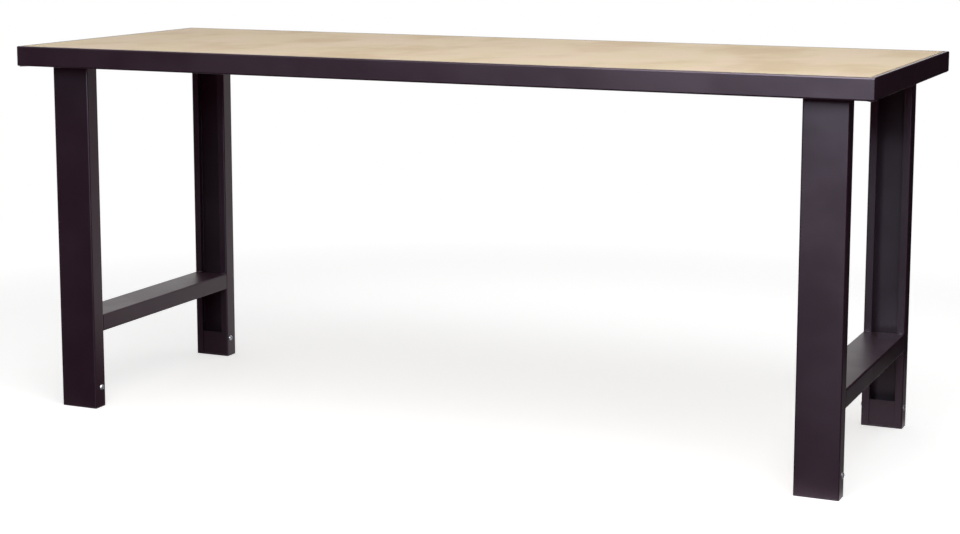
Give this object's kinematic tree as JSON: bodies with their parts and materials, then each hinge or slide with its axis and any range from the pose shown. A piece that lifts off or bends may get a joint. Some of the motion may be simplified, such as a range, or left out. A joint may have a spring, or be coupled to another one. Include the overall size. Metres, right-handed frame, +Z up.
{
  "type": "workbench",
  "caption": "Free-standing workshop bench: a wood worktop flush in a black steel edge frame, on end frames of folded channel legs with a lower rail and adjustable feet.",
  "frame": {"origin": "on the floor, below the middle of the bench", "axes": "+X along the bench to its right end, -Y to its front, +Z up"},
  "size_m": [2, 0.75, 0.86],
  "materials": {
    "worktop_wood": "lacquered pale beech multi-ply, satin",
    "frame_paint": "near-black semi-gloss powder coat with a faint orange peel",
    "zinc": "bright zinc plate"
  },
  "bodies": {
    "bench": {"worktop_board": "worktop_wood", "front_edge_profile": "frame_paint", "rear_edge_profile": "frame_paint", "left_edge_profile": "frame_paint", "right_edge_profile": "frame_paint", "left_end_bearer": "frame_paint", "right_end_bearer": "frame_paint", "left_middle_bearer": "frame_paint", "right_middle_bearer": "frame_paint", "front_left_leg": "frame_paint", "front_right_leg": "frame_paint", "rear_left_leg": "frame_paint", "rear_right_leg": "frame_paint", "front_left_head_plate": "frame_paint", "front_right_head_plate": "frame_paint", "rear_left_head_plate": "frame_paint", "rear_right_head_plate": "frame_paint", "left_lower_rail": "frame_paint", "right_lower_rail": "frame_paint", "head_bolts": "zinc", "head_washers": "zinc", "head_nuts": "zinc", "foot_screws": "zinc", "foot_nuts": "zinc", "board_screws": "zinc"},
    "front_left_foot": {"front_left_foot": "frame_paint"},
    "front_right_foot": {"front_right_foot": "frame_paint"},
    "rear_left_foot": {"rear_left_foot": "frame_paint"},
    "rear_right_foot": {"rear_right_foot": "frame_paint"}
  },
  "joints": [
    {"name": "front_left_foot_slide", "type": "slide", "parent": "bench", "child": "front_left_foot", "axis": [0, 0, -1], "range_m": [0, 0.02]},
    {"name": "front_right_foot_slide", "type": "slide", "parent": "bench", "child": "front_right_foot", "axis": [0, 0, -1], "range_m": [0, 0.02]},
    {"name": "rear_left_foot_slide", "type": "slide", "parent": "bench", "child": "rear_left_foot", "axis": [0, 0, -1], "range_m": [0, 0.02]},
    {"name": "rear_right_foot_slide", "type": "slide", "parent": "bench", "child": "rear_right_foot", "axis": [0, 0, -1], "range_m": [0, 0.02]}
  ]
}
